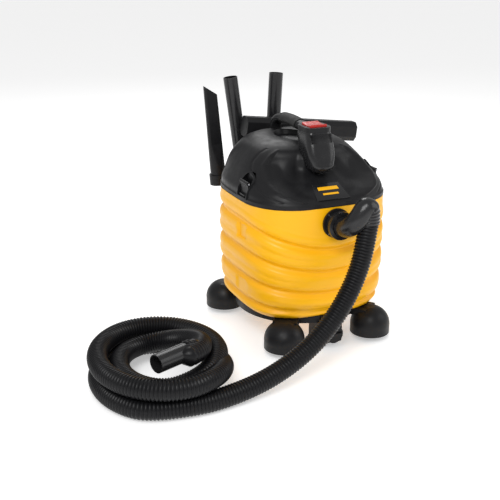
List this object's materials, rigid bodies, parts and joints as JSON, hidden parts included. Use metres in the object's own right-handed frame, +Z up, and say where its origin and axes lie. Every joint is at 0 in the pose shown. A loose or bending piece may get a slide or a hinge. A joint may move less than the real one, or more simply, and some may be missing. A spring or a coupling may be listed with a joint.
{
  "type": "shop vacuum",
  "caption": "Wheeled wet and dry shop vacuum with ribbed drum, lift-off motor head, carry handle, coiled hose, extension wands, crevice tool and floor nozzle.",
  "frame": {"origin": "the drum's axis at the level of the floor that the casters stand on", "axes": "+Z up; the hose inlet faces -Y; the tool holder is at +Y; +X is to the right seen from the front"},
  "size_m": [0.8909, 0.6865, 0.6168],
  "materials": {
    "yellow_plastic": "semi-gloss moulded yellow",
    "black_plastic": "satin black, fine texture",
    "black_gloss": "smooth black",
    "hose_black": "flexible corrugated black",
    "red_plastic": "smooth red",
    "steel": "zinc plated",
    "rubber_black": "soft black",
    "wheel_grey": "hard black tread",
    "filter_paper": "pleated paper",
    "copper_wound": "lacquered windings and laminations",
    "grip_rubber": "textured grip"
  },
  "bodies": {
    "root": {"drum": "yellow_plastic", "base_ring": "black_plastic", "drain_housing": "black_plastic", "drain_seal": "rubber_black", "inlet_collar": "black_plastic", "inlet_deflector": "black_plastic", "inlet_screws": "steel", "foot_screws": "steel", "hose_elbow": "black_gloss", "hose_lock_nut": "black_gloss", "hose_tube": "hose_black", "hose_coil": "hose_black", "hose_cuff": "black_gloss", "tool_holder": "black_plastic", "caster_foot_front_left": "black_plastic", "caster_foot_front_right": "black_plastic", "caster_foot_rear_left": "black_plastic", "caster_foot_rear_right": "black_plastic"},
    "head": {"lid": "black_plastic", "lid_seal": "rubber_black", "motor_deck": "black_plastic", "exhaust_grille": "black_plastic", "cord_gland": "rubber_black", "nose_cover": "black_plastic", "switch_bezel": "black_plastic", "handle": "black_plastic", "handle_grip": "grip_rubber", "latch_pockets": "black_plastic", "latch_pins": "steel", "motor_stator": "copper_wound", "motor_bearings": "steel", "motor_cover": "black_plastic", "cover_screws": "steel", "fan_housing": "black_plastic", "filter_cage": "black_plastic", "filter_cartridge": "filter_paper", "filter_cap": "black_plastic"},
    "latch_left": {"latch_left": "black_plastic"},
    "latch_right": {"latch_right": "black_plastic"},
    "rocker": {"switch_rocker": "red_plastic"},
    "drain_cap": {"drain_cap": "black_plastic"},
    "rotor": {"rotor": "copper_wound", "impeller": "black_plastic"},
    "float": {"float_ball": "black_plastic"},
    "wand_left": {"wand_left": "black_gloss"},
    "wand_right": {"wand_right": "black_gloss"},
    "crevice_tool": {"crevice_tool": "black_plastic"},
    "floor_nozzle": {"floor_nozzle": "black_plastic"},
    "caster_front_left": {"caster_fork_front_left": "steel", "caster_axle_front_left": "steel"},
    "wheel_front_left": {"caster_wheel_front_left": "wheel_grey"},
    "caster_front_right": {"caster_fork_front_right": "steel", "caster_axle_front_right": "steel"},
    "wheel_front_right": {"caster_wheel_front_right": "wheel_grey"},
    "caster_rear_left": {"caster_fork_rear_left": "steel", "caster_axle_rear_left": "steel"},
    "wheel_rear_left": {"caster_wheel_rear_left": "wheel_grey"},
    "caster_rear_right": {"caster_fork_rear_right": "steel", "caster_axle_rear_right": "steel"},
    "wheel_rear_right": {"caster_wheel_rear_right": "wheel_grey"}
  },
  "joints": [
    {"name": "head_lift", "type": "slide", "parent": "root", "child": "head", "axis": [0, 0, 1], "range_m": [0, 0.25]},
    {"name": "latch_left_swing", "type": "hinge", "parent": "head", "child": "latch_left", "pos_m": [-0.176, -0.05, 0.41], "axis": [0, 1, 0], "range_deg": [0, 35]},
    {"name": "latch_right_swing", "type": "hinge", "parent": "head", "child": "latch_right", "pos_m": [0.176, -0.05, 0.41], "axis": [0, -1, 0], "range_deg": [0, 35]},
    {"name": "switch_rock", "type": "hinge", "parent": "head", "child": "rocker", "pos_m": [0, -0.067, 0.536], "axis": [1, 0, 0], "range_deg": [-5, 5]},
    {"name": "drain_cap_turn", "type": "hinge", "parent": "root", "child": "drain_cap", "pos_m": [0, -0.196, 0.04], "axis": [0, 1, 0], "range_deg": [0, 360]},
    {"name": "fan_spin", "type": "hinge", "parent": "head", "child": "rotor", "pos_m": [0, 0.024, 0.42], "axis": [0, 0, 1], "continuous": true},
    {"name": "float_rise", "type": "slide", "parent": "head", "child": "float", "axis": [0, 0, 1], "range_m": [0, 0.05]},
    {"name": "wand_left_lift", "type": "slide", "parent": "root", "child": "wand_left", "axis": [-0.1392, 0, 0.9903], "range_m": [0, 0.3]},
    {"name": "wand_right_lift", "type": "slide", "parent": "root", "child": "wand_right", "axis": [0.0523, 0, 0.9986], "range_m": [0, 0.3]},
    {"name": "crevice_tool_lift", "type": "slide", "parent": "root", "child": "crevice_tool", "axis": [-0.0872, 0, 0.9962], "range_m": [0, 0.1]},
    {"name": "floor_nozzle_lift", "type": "slide", "parent": "root", "child": "floor_nozzle", "axis": [0, 0, 1], "range_m": [0, 0.15]},
    {"name": "swivel_front_left", "type": "hinge", "parent": "root", "child": "caster_front_left", "pos_m": [-0.121, -0.166, 0.05], "axis": [0, 0, 1], "continuous": true},
    {"name": "spin_front_left", "type": "hinge", "parent": "caster_front_left", "child": "wheel_front_left", "pos_m": [-0.121, -0.174, 0.018], "axis": [1, 0, 0], "continuous": true},
    {"name": "swivel_front_right", "type": "hinge", "parent": "root", "child": "caster_front_right", "pos_m": [0.121, -0.166, 0.05], "axis": [0, 0, 1], "continuous": true},
    {"name": "spin_front_right", "type": "hinge", "parent": "caster_front_right", "child": "wheel_front_right", "pos_m": [0.121, -0.174, 0.018], "axis": [1, 0, 0], "continuous": true},
    {"name": "swivel_rear_left", "type": "hinge", "parent": "root", "child": "caster_rear_left", "pos_m": [-0.15, 0.15, 0.05], "axis": [0, 0, 1], "continuous": true},
    {"name": "spin_rear_left", "type": "hinge", "parent": "caster_rear_left", "child": "wheel_rear_left", "pos_m": [-0.15, 0.142, 0.018], "axis": [1, 0, 0], "continuous": true},
    {"name": "swivel_rear_right", "type": "hinge", "parent": "root", "child": "caster_rear_right", "pos_m": [0.15, 0.15, 0.05], "axis": [0, 0, 1], "continuous": true},
    {"name": "spin_rear_right", "type": "hinge", "parent": "caster_rear_right", "child": "wheel_rear_right", "pos_m": [0.15, 0.142, 0.018], "axis": [1, 0, 0], "continuous": true}
  ]
}
